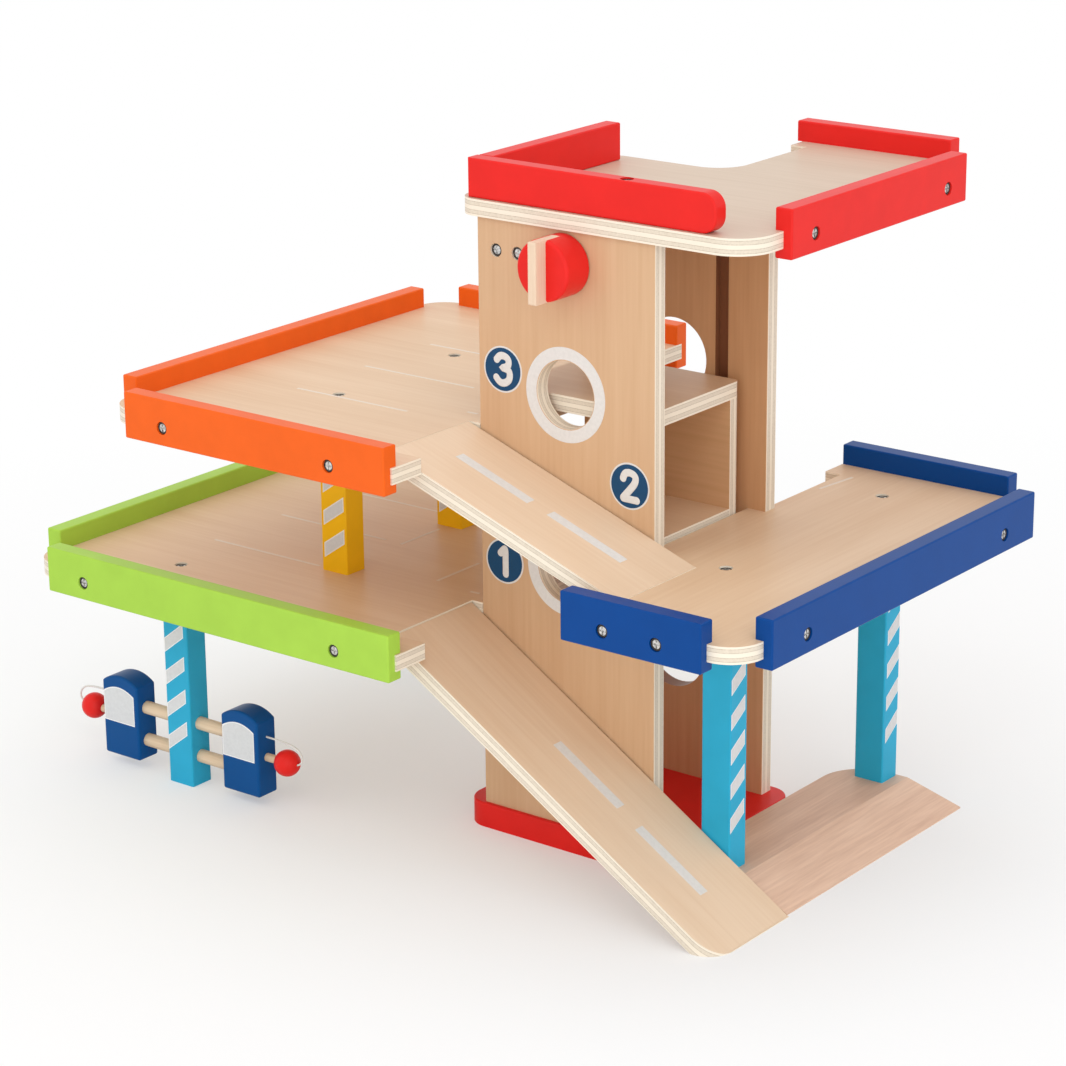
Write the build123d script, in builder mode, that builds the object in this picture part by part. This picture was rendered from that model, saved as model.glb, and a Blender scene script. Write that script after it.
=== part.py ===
from build123d import *
import math
import os

# Wooden toy parking garage with a lift in its tower, two ramps and a pump island.
# Millimetres. The origin is on the floor under the middle of the lift tower:
# +X towards the foot of the ramps, -Y towards the knob, +Z up.

# ---- shared sizes ----
ply = 9.5                 # plywood of the panels, decks, ramps and lift
edge_round = 1.0          # softened edges of painted wood
board_round = 0.6         # softened edges of the plywood boards
glue_gap = 0.05           # round a dowel that is glued in its hole
turn_gap = 0.1            # round a dowel that turns or slides in its hole

# ---- tower ----
tower_width = 120         # front panel
tower_depth = 112         # outer face of the front panel to outer face of the back one
panel_height = 347.5
back_panel_width = 128
base_thick = 15
base_left = 14            # how far the base reaches past the front panel
base_right = 17.5
base_front = 2.7
base_back = 5.5
base_corner = 14.5
front_hole = 19.5         # radius of the portholes in the front panel
back_hole = 22.5          # radius of the portholes in the back panel
upper_hole_z = 270
front_low_hole_z = 169
back_low_hole_z = 91.5
groove_x = 33             # guide groove in the back panel
groove_width = 8.7
groove_depth = 4.3

# ---- deck levels, top faces above the floor ----
green_top = 137.4
blue_top = 188.4
orange_top = 244

# ---- deck outlines ----
deck_front = 96           # deck edge ahead of the front panel
left_deck_back = 94.5     # green and orange deck edge behind the back panel
blue_deck_back = 100
green_reach = 268.4       # out to the left from the tower's side
orange_reach = 198.4
blue_reach = 121.6        # out to the right
deck_corner = 20
tongue = 8                # deck tongue between the two panels
left_ear = 16             # strip of the left decks beside the ramp, past the tower's side
blue_ear = 10.7           # strip of the blue deck behind the tower
blue_ear_width = 24
ramp_seat = 7.5           # the left decks end this far before the tower at a ramp, and behind it

# ---- rails ----
rail_thick = 10.8
rail_above = 12.2         # above the deck
rail_below = 5.7          # below the deck
rail_setback = 20.6       # from the deck corner to the rail's end
rail_screw_inset = 29     # from a long rail's end to its first screw
ear_rail_inset = 1.2      # from the left decks' ear to the end of the front rail
blue_rail_left = 12.2     # from the tower's side to the end of the blue front rail
blue_rail_screw_inset = 33
short_rail_screw_inset = 26.9
short_rail_screw_pitch = 33.9
back_rail_screw_pitch = 51

# ---- top deck ----
top_left = 12.8           # past the tower's sides and front
top_right = 60.8
top_front = 2.4
top_back = 27
top_wing_left = 11
top_wing_back = 127       # behind the back panel
top_ear = 11
top_ear_width = 18
top_corner_left = 12
top_corner_front = 22
top_corner_back = 34
top_inner_corner = 20
top_rail_height = 22      # the two rails that stand on the top deck
top_rail_thick = 10
top_front_rail_end = 98.4
top_front_rail_round = 9
top_left_rail_length = 118
top_screw_x = 38
top_front_rail_left = 6.4 # past the tower's side
top_right_rail_front = 32.4
top_right_rail_back = 30.5
top_right_screw_inset = 23
top_right_screw_pitch = 135.4
top_back_rail_left = 15   # past the wing's inner edge
top_back_screw_inset = 28

# ---- ramps ----
ramp_width = 70
ramp_gap = 1.2            # to the front panel
ramp_toe = 0.8            # blunt toe
upper_ramp_foot = 88.4
lower_ramp_foot = 151.5
lower_ramp_drop = 1       # the lower ramp starts this much under the green deck
foot_corner = 16
seat_gap = 0.3

# ---- entry plate ----
entry_right = 149.5
entry_flat = 118.4        # its level part ends here
entry_back = 63.8         # behind the back panel
entry_corner = 28
entry_flare = 9           # its foot's back corner reaches this much further back

# ---- pillars ----
pillar_x_size = 19.2
pillar_y_size = 16
blue_pillar_x = 101.6
blue_pillar_inset = 45.2    # deck's back edge to the back pillar's middle
yellow_pillar_x = -163
yellow_front_y = -57.6
yellow_back_y = 48.7
pump_pillar_x = -246.2
pump_pillar_y = -108.2
green_back_pillar_inset = 18.5

# ---- pump island ----
pump_width = 29
pump_thick = 16.2
pump_foot = 6             # above the floor
pump_shoulder = 53
pump_crown = 58
pump_offset = 48.9        # pillar's middle to pump's middle
pump_round = 1.6
dowel_radius = 4
dowel_low_z = 18
dowel_high_z = 39
dowel_in_pump = 8
nozzle_z = 30
nozzle_ball = 8
nozzle_reach = 15.8       # ball's centre from the pump's side
stick_radius = 2.5
stick_in_pump = 16
stick_end_gap = 0.5
tether_radius = 0.6
tether_hole_depth = 3

# ---- knob and hoist ----
knob_below_top = 19       # the knob's axis below the panel's top
knob_radius = 17.3
knob_thick = 20
knob_gap = 0.5            # between the panel and the disc
knob_round = 2
knob_slot = 12.5          # depth of the slot that holds the bar
knob_bar_width = 5.6
knob_bar_proud = 9
shaft_radius = 4
cord_radius = 0.75
wind_radius = 10          # the hoist cord's middle runs at this radius
cord_gap = 0.25
flange_radius = 13
flange_thick = 3
spool_length = 20
spool_side_gap = 1.5      # to the bracket's arm
shaft_past_arm = 1
bracket_left = -54
bracket_width = 28
bracket_height = 13.4
bracket_arm_end = 10
bracket_arm_thick = 8
bracket_screw_x = -47.1
bracket_screw_pitch = 14.7
bracket_screw_up = 1.2    # above the knob's axis
anchor_radius = 6
anchor_height = 5

# ---- lift ----
lift_width = 100
lift_depth = 83
lift_front_gap = 3.5      # behind the front panel
lift_top = 265
lift_height = 82.8
lift_corner = 4
runner_length = 60
runner_side_gap = 0.35
runner_end_gap = 0.5

# ---- screws ----
head_radius = 3.4
head_thick = 1.6
head_gap = 0.4
head_sunk = 1.0           # under the surface of the wood
cross_width = 1.1
cross_depth = 1.0
shank_radius = 1.5
shank_gap = 0.1
screw_length = 14
panel_screw_length = 24

# ---- places that follow from the sizes ----
front_y = -tower_depth / 2
back_y = tower_depth / 2
side_x = tower_width / 2
inner_front_y = front_y + ply
inner_back_y = back_y - ply
panel_top = base_thick + panel_height
knob_z = panel_top - knob_below_top
top_deck_top = panel_top + ply
rail_height = rail_above + ply + rail_below
deck_front_y = front_y - deck_front
left_deck_back_y = back_y + left_deck_back
blue_deck_back_y = back_y + blue_deck_back
ramp_back_y = front_y - ramp_gap
ramp_front_y = ramp_back_y - ramp_width
ramp_start_x = -side_x - ramp_seat + seat_gap
green_left_x = -side_x - green_reach
orange_left_x = -side_x - orange_reach
blue_right_x = side_x + blue_reach
top_left_x = -side_x - top_left
top_right_x = side_x + top_right
top_front_y = front_y - top_front
top_back_y = back_y + top_back
top_wing_back_y = back_y + top_wing_back
blue_front_pillar_y = front_y + pillar_y_size / 2
blue_back_pillar_y = blue_deck_back_y - blue_pillar_inset
green_back_pillar_y = left_deck_back_y - green_back_pillar_inset
lift_front_y = inner_front_y + lift_front_gap
lift_back_y = lift_front_y + lift_depth
lift_y = (lift_front_y + lift_back_y) / 2
lift_bottom = lift_top - lift_height

os.makedirs("parts", exist_ok=True)


def save(piece, name):
    piece.part.label = name
    export_step(piece.part, f"parts/{name}.step")


def nearest(vertices, points):
    """The corner of a flat outline that lies nearest each point."""
    return [vertices.sort_by_distance((x, y, 0))[0] for x, y in points]


def edge_plane(start, end, top):
    """Plane along a deck's edge, walked anticlockwise: x along the edge, -y out of it, z up,
    at half the plywood's height."""
    along = Vector(end[0] - start[0], end[1] - start[1])
    return Plane(origin=(start[0], start[1], top - ply / 2), x_dir=along, z_dir=(0, 0, 1))


def rail_screw_spots(plane, distances):
    """Where a rail's screws sit: on its outer face, z pointing out of it."""
    return [plane.location * Location((d, -rail_thick / 2, 0), (90, 0, 0)) for d in distances]


def screw_holes(spots, length):
    """Sunk head and pilot hole, cut out of the piece that is being made."""
    with Locations(*spots):
        Cylinder(head_radius + head_gap, head_sunk + head_thick, mode=Mode.SUBTRACT,
                 align=(Align.CENTER, Align.CENTER, Align.MAX))
        Cylinder(shank_radius + shank_gap, length + head_sunk + shank_gap, mode=Mode.SUBTRACT,
                 align=(Align.CENTER, Align.CENTER, Align.MAX))


def screws(name, spots, length):
    """Cross-head screws as one group of separate solids."""
    with BuildPart() as group:
        with Locations(*[spot * Location((0, 0, -head_sunk)) for spot in spots]):
            Cylinder(head_radius, head_thick, align=(Align.CENTER, Align.CENTER, Align.MAX))
            Cylinder(shank_radius, length, align=(Align.CENTER, Align.CENTER, Align.MAX))
            for turn in (0, 90):
                Box(2 * head_radius - 2 * cross_width, cross_width, cross_depth, rotation=(0, 0, turn),
                    align=(Align.CENTER, Align.CENTER, Align.MAX), mode=Mode.SUBTRACT)
    save(group, name)


def board(outline, rounded, radius, bottom, thick, mode=Mode.ADD):
    """Flat board with some of its corners rounded, inside the part that is being made."""
    with BuildSketch(Plane.XY.offset(bottom)) as sketch:
        with BuildLine():
            Polyline(*outline, close=True)
        make_face()
        fillet(nearest(sketch.vertices(), rounded), radius)
    extrude(sketch.sketch, amount=thick, mode=mode)


def rail(name, start, end, top, screw_distances):
    """Grooved rail on a deck's edge. Returns where its screws sit."""
    plane = edge_plane(start, end, top)
    length = (Vector(*end) - Vector(*start)).length
    spots = rail_screw_spots(plane, screw_distances)
    with BuildPart() as piece:
        with Locations(plane.location * Location((0, 0, -ply / 2 - rail_below))):
            Box(length, rail_thick, rail_height, align=(Align.MIN, Align.CENTER, Align.MIN))
        fillet(piece.edges(), edge_round)
        with Locations(plane.location):
            Box(length, rail_thick / 2, ply, align=(Align.MIN, Align.MIN, Align.CENTER),
                mode=Mode.SUBTRACT)
        screw_holes(spots, rail_thick)
    save(piece, name)
    return spots


# ---- rails of the three side decks and the top deck ----
rail_end_y = deck_front_y + rail_setback
left_rail_back_y = left_deck_back_y - rail_setback
blue_rail_back_y = blue_deck_back_y - rail_setback
front_rail_right_x = -side_x + left_ear - ear_rail_inset


def left_deck_rails(colour, left_x, top):
    """Front, back and left rail of a deck to the left of the tower."""
    front_length = front_rail_right_x - (left_x + rail_setback)
    spots = rail(f"{colour}_front_rail", (left_x + rail_setback, deck_front_y),
                 (front_rail_right_x, deck_front_y), top,
                 (rail_screw_inset, front_length - rail_screw_inset - rail_thick))
    spots += rail(f"{colour}_back_rail", (-side_x - ramp_seat, left_deck_back_y),
                  (left_x + rail_setback, left_deck_back_y), top,
                  (rail_screw_inset, front_length - 2 * rail_screw_inset))
    spots += rail(f"{colour}_left_rail", (left_x, left_rail_back_y), (left_x, rail_end_y), top,
                  (rail_screw_inset, left_rail_back_y - rail_end_y - rail_screw_inset))
    return spots


green_spots = left_deck_rails("green", green_left_x, green_top)
orange_spots = left_deck_rails("orange", orange_left_x, orange_top)

blue_rail_left_x = side_x + blue_rail_left
blue_rail_right_x = blue_right_x - rail_setback
blue_spots = rail("blue_front_rail", (blue_rail_left_x, deck_front_y),
                  (blue_rail_right_x, deck_front_y), blue_top,
                  (short_rail_screw_inset, short_rail_screw_inset + short_rail_screw_pitch))
blue_spots += rail("blue_right_rail", (blue_right_x, rail_end_y), (blue_right_x, blue_rail_back_y),
                   blue_top,
                   (blue_rail_screw_inset, blue_rail_back_y - rail_end_y - blue_rail_screw_inset))
blue_spots += rail("blue_back_rail", (blue_rail_right_x, blue_deck_back_y),
                   (side_x - blue_ear - glue_gap, blue_deck_back_y), blue_top,
                   (blue_rail_screw_inset, blue_rail_screw_inset + back_rail_screw_pitch))

top_spots = rail("red_right_rail", (top_right_x, top_front_y + top_right_rail_front),
                 (top_right_x, top_wing_back_y - top_right_rail_back), top_deck_top,
                 (top_right_screw_inset, top_right_screw_inset + top_right_screw_pitch))
top_spots += rail("red_back_rail", (top_right_x - rail_setback, top_wing_back_y),
                  (top_wing_left - top_back_rail_left, top_wing_back_y), top_deck_top,
                  (top_back_screw_inset, top_back_screw_inset + back_rail_screw_pitch))

# ---- screws that go down through the decks into the pillars ----
blue_pillar_places = [(blue_pillar_x, blue_front_pillar_y), (blue_pillar_x, blue_back_pillar_y)]
yellow_pillar_places = [(yellow_pillar_x, yellow_front_y), (yellow_pillar_x, yellow_back_y)]
green_pillar_places = [(pump_pillar_x, pump_pillar_y), (pump_pillar_x, green_back_pillar_y)]


def down_spots(places, top):
    return [Location((x, y, top)) for x, y in places]


blue_down = down_spots(blue_pillar_places, blue_top)
orange_down = down_spots(yellow_pillar_places, orange_top)
green_down = down_spots(green_pillar_places, green_top)


# ---- decks ----
def left_deck(name, left_x, top, spots):
    """Deck to the left of the tower, with an ear beside the ramp and a tongue in the tower."""
    seat_x = -side_x - ramp_seat
    ear_x = -side_x + left_ear
    outline = [(left_x, deck_front_y), (ear_x, deck_front_y), (ear_x, ramp_front_y - seat_gap),
               (seat_x, ramp_front_y - seat_gap), (seat_x, front_y - seat_gap),
               (-side_x, front_y - seat_gap), (-side_x, inner_front_y + glue_gap),
               (-side_x + tongue, inner_front_y + glue_gap),
               (-side_x + tongue, inner_back_y - glue_gap), (seat_x, inner_back_y - glue_gap),
               (seat_x, left_deck_back_y), (left_x, left_deck_back_y)]
    with BuildPart() as piece:
        board(outline, [(left_x, deck_front_y), (left_x, left_deck_back_y)], deck_corner,
              top - ply, ply)
        screw_holes(spots, screw_length)
    save(piece, name)


left_deck("green_deck", green_left_x, green_top, green_spots + green_down)
left_deck("orange_deck", orange_left_x, orange_top, orange_spots + orange_down)

ear_front_y = blue_deck_back_y - blue_ear_width
blue_outline = [(side_x, deck_front_y), (blue_right_x, deck_front_y),
                (blue_right_x, blue_deck_back_y), (side_x - blue_ear, blue_deck_back_y),
                (side_x - blue_ear, ear_front_y), (side_x, ear_front_y),
                (side_x, inner_back_y - glue_gap), (side_x - tongue, inner_back_y - glue_gap),
                (side_x - tongue, inner_front_y + glue_gap), (side_x, inner_front_y + glue_gap)]
with BuildPart() as blue_deck:
    # the back panel is wider than the front one, and this deck is notched round it
    board(blue_outline, [(side_x, deck_front_y), (blue_right_x, deck_front_y),
                         (blue_right_x, blue_deck_back_y)], deck_corner, blue_top - ply, ply)
    with Locations((side_x, back_y - ply / 2, blue_top - ply / 2)):
        Box(back_panel_width - tower_width + 2 * glue_gap, ply + 2 * glue_gap, ply,
            mode=Mode.SUBTRACT)
    screw_holes(blue_spots + blue_down, screw_length)
save(blue_deck, "blue_deck")

top_ear_x = top_wing_left - top_ear
top_ear_y = top_wing_back_y - top_ear_width
top_outline = [(top_left_x, top_front_y), (top_right_x, top_front_y),
               (top_right_x, top_wing_back_y), (top_ear_x, top_wing_back_y),
               (top_ear_x, top_ear_y), (top_wing_left, top_ear_y), (top_wing_left, top_back_y),
               (top_left_x, top_back_y)]
top_screw_spot = Location((top_screw_x, front_y + top_rail_thick / 2, top_deck_top + top_rail_height))
with BuildPart() as red_deck:
    board(top_outline, [(top_left_x, top_front_y), (top_left_x, top_back_y)],
          top_corner_left, panel_top, ply)
    for x, y, radius in ((top_right_x, top_front_y, top_corner_front),
                         (top_right_x, top_wing_back_y, top_corner_back),
                         (top_wing_left, top_back_y, top_inner_corner)):
        uprights = red_deck.edges().filter_by(Axis.Z)
        fillet(uprights.sort_by_distance((x, y, top_deck_top))[0], radius)
    screw_holes(top_spots, screw_length)
    with Locations(top_screw_spot):
        Cylinder(shank_radius + shank_gap, top_rail_height + ply, mode=Mode.SUBTRACT,
                 align=(Align.CENTER, Align.CENTER, Align.MAX))
save(red_deck, "red_deck")

# ---- the two plain rails that stand on the top deck ----
front_rail_left_x = -side_x - top_front_rail_left
with BuildPart() as red_front_rail:
    with BuildSketch(Plane.XZ.offset(-front_y - top_rail_thick)) as face:
        with BuildLine():
            Polyline((front_rail_left_x, top_deck_top), (top_front_rail_end, top_deck_top),
                     (top_front_rail_end, top_deck_top + top_rail_height),
                     (front_rail_left_x, top_deck_top + top_rail_height), close=True)
        make_face()
        ends = face.vertices().group_by(Axis.X)
        fillet(ends[-1], top_front_rail_round)
        fillet(ends[0].sort_by(Axis.Z)[-1], 2 * edge_round)
    extrude(amount=top_rail_thick)
    fillet(red_front_rail.faces().filter_by(Axis.Y).edges(), edge_round)
    screw_holes([top_screw_spot], top_rail_height)
save(red_front_rail, "red_front_rail")

with BuildPart() as red_left_rail:
    with Locations((front_rail_left_x, front_y + top_rail_thick, top_deck_top)):
        Box(top_rail_thick, top_left_rail_length, top_rail_height,
            align=(Align.MIN, Align.MIN, Align.MIN))
    fillet(red_left_rail.edges().filter_by(Axis.Z, reverse=True), edge_round)
save(red_left_rail, "red_left_rail")

# ---- tower ----
with BuildPart() as base_plate:
    board([(-side_x - base_left, front_y - base_front), (side_x + base_right, front_y - base_front),
           (side_x + base_right, back_y + base_back), (-side_x - base_left, back_y + base_back)],
          [(-side_x - base_left, front_y - base_front), (side_x + base_right, front_y - base_front),
           (side_x + base_right, back_y + base_back), (-side_x - base_left, back_y + base_back)],
          base_corner, 0, base_thick)
    fillet(base_plate.faces().sort_by(Axis.Z)[-1].edges(), edge_round)
save(base_plate, "base_plate")

panel_middle_z = base_thick + panel_height / 2
bracket_screw_xs = (bracket_screw_x, bracket_screw_x + bracket_screw_pitch)
front_face_turn = (90, 0, 0)
bracket_spots = [Location((x, front_y, knob_z + bracket_screw_up), front_face_turn)
                 for x in bracket_screw_xs]
with BuildPart() as front_panel:
    with Locations((0, front_y + ply / 2, panel_middle_z)):
        Box(tower_width, ply, panel_height)
    fillet(front_panel.edges().filter_by(Axis.Z), board_round)
    with Locations(Location((0, front_y, upper_hole_z), front_face_turn),
                   Location((0, front_y, front_low_hole_z), front_face_turn)):
        Hole(front_hole, depth=ply)
    with Locations(Location((0, front_y, knob_z), front_face_turn)):
        Hole(shaft_radius + turn_gap, depth=ply)
    screw_holes(bracket_spots, panel_screw_length)
save(front_panel, "front_panel")

with BuildPart() as back_panel:
    with Locations((0, back_y - ply / 2, panel_middle_z)):
        Box(back_panel_width, ply, panel_height)
    fillet(back_panel.edges().filter_by(Axis.Z), board_round)
    with Locations(Location((0, inner_back_y, upper_hole_z), front_face_turn),
                   Location((0, inner_back_y, back_low_hole_z), front_face_turn)):
        Hole(back_hole, depth=ply)
    with Locations((groove_x, inner_back_y + groove_depth / 2, panel_middle_z)):
        Box(groove_width, groove_depth, panel_height, mode=Mode.SUBTRACT)
save(back_panel, "back_panel")


# ---- ramps ----
def ramp(name, start, foot, corner):
    """Plywood ramp: a cut top end, an underside that lies flat at its foot, a blunt toe."""
    start_x, start_z = start
    foot_x, foot_z = foot
    angle = math.atan2(start_z - foot_z, foot_x - start_x)
    drop = ply / math.cos(angle)
    landing_x = foot_x - (drop - ramp_toe) / math.tan(angle)
    with BuildPart() as piece:
        with BuildSketch(Plane.XZ.offset(-ramp_back_y)):
            with BuildLine():
                Polyline((start_x, start_z), (foot_x - ramp_toe / math.tan(angle), foot_z + ramp_toe),
                         (foot_x, foot_z + ramp_toe / 2), (foot_x, foot_z), (landing_x, foot_z),
                         (start_x, start_z - drop), close=True)
            make_face()
        extrude(amount=ramp_width)
        if corner:
            board([(start_x, ramp_front_y), (foot_x, ramp_front_y), (foot_x, ramp_back_y),
                   (start_x, ramp_back_y)], [(foot_x, ramp_front_y)], corner, foot_z,
                  start_z - foot_z, Mode.INTERSECT)
    save(piece, name)


ramp("upper_ramp", (ramp_start_x, orange_top), (upper_ramp_foot, blue_top), 0)
ramp("lower_ramp", (ramp_start_x, green_top - lower_ramp_drop), (lower_ramp_foot, 0), foot_corner)

# ---- entry plate beside the base ----
entry_left_x = side_x + base_right + glue_gap
entry_back_y = back_y + entry_back
with BuildPart() as entry_plate:
    with BuildSketch(Plane.XZ.offset(-front_y)):
        with BuildLine():
            Polyline((entry_left_x, 0), (entry_right, 0), (entry_right, ramp_toe),
                     (entry_flat, base_thick), (entry_left_x, base_thick), close=True)
        make_face()
    extrude(amount=-(entry_back_y + entry_flare - front_y))
    board([(entry_left_x, front_y), (entry_right, front_y),
           (entry_right, entry_back_y + entry_flare), (entry_flat, entry_back_y),
           (entry_left_x, entry_back_y)], [(entry_left_x, entry_back_y)], entry_corner, 0,
          base_thick, Mode.INTERSECT)
save(entry_plate, "entry_plate")


# ---- pillars ----
def pillar(name, place, bottom, top, cross_holes=()):
    """Square pillar with a pilot hole for the screw that comes down through the deck."""
    x, y = place
    with BuildPart() as piece:
        with Locations((x, y, bottom)):
            Box(pillar_x_size, pillar_y_size, top - bottom,
                align=(Align.CENTER, Align.CENTER, Align.MIN))
        fillet(piece.edges().filter_by(Axis.Z), edge_round)
        with Locations((x, y, top)):
            Cylinder(shank_radius + shank_gap, screw_length, mode=Mode.SUBTRACT,
                     align=(Align.CENTER, Align.CENTER, Align.MAX))
        for z in cross_holes:
            with Locations((x, y, z)):
                Cylinder(dowel_radius + glue_gap, pillar_x_size, rotation=(0, 90, 0),
                         mode=Mode.SUBTRACT)
    save(piece, name)


pillar("blue_front_pillar", blue_pillar_places[0], base_thick, blue_top - ply)
pillar("blue_back_pillar", blue_pillar_places[1], base_thick, blue_top - ply)
pillar("yellow_front_pillar", yellow_pillar_places[0], green_top, orange_top - ply)
pillar("yellow_back_pillar", yellow_pillar_places[1], green_top, orange_top - ply)
dowel_levels = (dowel_low_z, dowel_high_z)
pillar("pump_pillar", green_pillar_places[0], 0, green_top - ply, dowel_levels)
pillar("green_back_pillar", green_pillar_places[1], 0, green_top - ply)

# ---- pump island ----
# A pump's own plane has its x pointing away from the pillar and its origin on the pump's
# outer side at floor level.
pump_side = pump_offset + pump_width / 2
# how far out of the pump's side and how high the tether runs, from its hole into the ball
tether_route = [(-tether_hole_depth, 42.8), (9, 42.8), (18.3, 42.3), (24.8, 40.3), (28, 35.6),
                (26.6, 31.2), (22, nozzle_z)]


def bend_radii(points):
    """As large an arc at each corner of the route as its two runs allow."""
    radii = []
    for before, here, after in zip(points, points[1:], points[2:]):
        first = Vector(*here) - Vector(*before)
        second = Vector(*after) - Vector(*here)
        half_turn = math.radians(first.get_angle(second)) / 2
        radii.append(0.45 * min(first.length, second.length) / math.tan(half_turn))
    return radii


def pump(side, outward):
    """One pump with its nozzle and tether, to the left (-1) or right (1) of the pillar."""
    face_x = pump_pillar_x + outward * pump_side
    middle_x = pump_pillar_x + outward * pump_offset
    half = pump_width / 2
    back = pump_pillar_y + pump_thick / 2
    turn = (0, 90 * outward, 0)
    with BuildPart() as body:
        with BuildSketch(Plane.XZ.offset(-back)):
            with BuildLine():
                Polyline((middle_x - half, pump_shoulder), (middle_x - half, pump_foot),
                         (middle_x + half, pump_foot), (middle_x + half, pump_shoulder))
                ThreePointArc((middle_x + half, pump_shoulder), (middle_x, pump_crown),
                              (middle_x - half, pump_shoulder))
            make_face()
        extrude(amount=pump_thick)
        fillet(body.edges(), pump_round)
        with Locations(*[Location((middle_x - outward * half, pump_pillar_y, z), (0, -90 * outward, 0))
                         for z in dowel_levels]):
            Hole(dowel_radius + glue_gap, depth=dowel_in_pump)
        with Locations(Location((face_x, pump_pillar_y, nozzle_z), turn)):
            Hole(stick_radius + turn_gap, depth=stick_in_pump)
        with Locations(Location((face_x, pump_pillar_y, tether_route[0][1]), turn)):
            Hole(tether_radius + turn_gap, depth=tether_hole_depth)
    save(body, f"{side}_pump")

    ball_x = face_x + outward * nozzle_reach
    points = [(face_x + outward * out, pump_pillar_y, z) for out, z in tether_route]
    with BuildPart() as stick:
        with Locations(Location((ball_x, pump_pillar_y, nozzle_z), turn)):
            Cylinder(stick_radius, nozzle_reach + stick_in_pump - stick_end_gap,
                     align=(Align.CENTER, Align.CENTER, Align.MAX))
    save(stick, f"{side}_nozzle_stick")

    with BuildPart() as ball:
        with Locations((ball_x, pump_pillar_y, nozzle_z)):
            Sphere(nozzle_ball)
        with Locations(Location((ball_x, pump_pillar_y, nozzle_z), turn)):
            Cylinder(stick_radius + glue_gap, nozzle_ball, mode=Mode.SUBTRACT,
                     align=(Align.CENTER, Align.CENTER, Align.MAX))
        with Locations(Plane(origin=points[-1], z_dir=Vector(*points[-2]) - Vector(*points[-1]))):
            Cylinder(tether_radius + turn_gap, nozzle_ball, mode=Mode.SUBTRACT,
                     align=(Align.CENTER, Align.CENTER, Align.MIN))
    save(ball, f"{side}_nozzle_ball")

    with BuildPart() as tether:
        with BuildLine() as route:
            FilletPolyline(*points, radius=bend_radii(points))
        with BuildSketch(Plane(origin=points[0], z_dir=route.line % 0)):
            Circle(tether_radius)
        sweep()
    save(tether, f"{side}_tether")
    length = sum(edge.length for edge in route.edges())
    section = math.pi * tether_radius ** 2
    print(f"{side} tether: length {length:.1f}, radii {[round(r, 1) for r in bend_radii(points)]}")
    print(f"  volume {tether.part.volume:.2f}, section x length {section * length:.2f}")


pump("left", -1)
pump("right", 1)

with BuildPart() as pump_dowels:
    dowel_length = 2 * (pump_offset - pump_width / 2 + dowel_in_pump)
    with Locations(*[(pump_pillar_x, pump_pillar_y, z) for z in dowel_levels]):
        Cylinder(dowel_radius, dowel_length, rotation=(0, 90, 0))
save(pump_dowels, "pump_dowels")

# ---- knob, shaft and spool ----
knob_back_y = front_y - knob_gap
knob_front_y = knob_back_y - knob_thick
slot_y = knob_front_y + knob_slot
bar_front_y = knob_front_y - knob_bar_proud
with BuildPart() as knob_disc:
    with BuildSketch(Plane.XZ.offset(-knob_back_y)):
        with Locations((0, knob_z)):
            Circle(knob_radius)
    extrude(amount=knob_thick)
    fillet(knob_disc.faces().sort_by(Axis.Y)[0].edges(), knob_round)
    fillet(knob_disc.faces().sort_by(Axis.Y)[-1].edges(), edge_round)
    with Locations((0, slot_y, knob_z)):
        Box(knob_bar_width, knob_slot, 2 * knob_radius, mode=Mode.SUBTRACT,
            align=(Align.CENTER, Align.MAX, Align.CENTER))
        Cylinder(shaft_radius + glue_gap, knob_thick, rotation=(90, 0, 0), mode=Mode.SUBTRACT)
save(knob_disc, "knob_disc")

with BuildPart() as knob_bar:
    with BuildSketch(Plane.XZ.offset(-slot_y)):
        with Locations((0, knob_z)):
            Circle(knob_radius)
            Rectangle(knob_bar_width, 2 * knob_radius, mode=Mode.INTERSECT)
    extrude(amount=knob_slot + knob_bar_proud)
    fillet(knob_bar.faces().sort_by(Axis.Y)[0].edges(), edge_round)
save(knob_bar, "knob_bar")

spool_y = lift_y
arm_front_y = spool_y + spool_length / 2 + spool_side_gap
arm_back_y = arm_front_y + bracket_arm_thick
with BuildPart() as knob_shaft:
    with BuildSketch(Plane.XZ.offset(-slot_y)):
        with Locations((0, knob_z)):
            Circle(shaft_radius)
    extrude(amount=-(arm_back_y + shaft_past_arm - slot_y))
save(knob_shaft, "knob_shaft")

core_radius = wind_radius - cord_radius - cord_gap
with BuildPart() as cord_spool:
    with BuildSketch(Plane.YZ) as profile:
        with BuildLine():
            left = spool_y - spool_length / 2
            right = spool_y + spool_length / 2
            low = knob_z + shaft_radius + glue_gap
            Polyline((left, low), (left, knob_z + flange_radius),
                     (left + flange_thick, knob_z + flange_radius),
                     (left + flange_thick, knob_z + core_radius),
                     (right - flange_thick, knob_z + core_radius),
                     (right - flange_thick, knob_z + flange_radius),
                     (right, knob_z + flange_radius), (right, low), close=True)
        make_face()
    revolve(axis=Axis((0, 0, knob_z), (0, 1, 0)))
save(cord_spool, "cord_spool")

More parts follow.
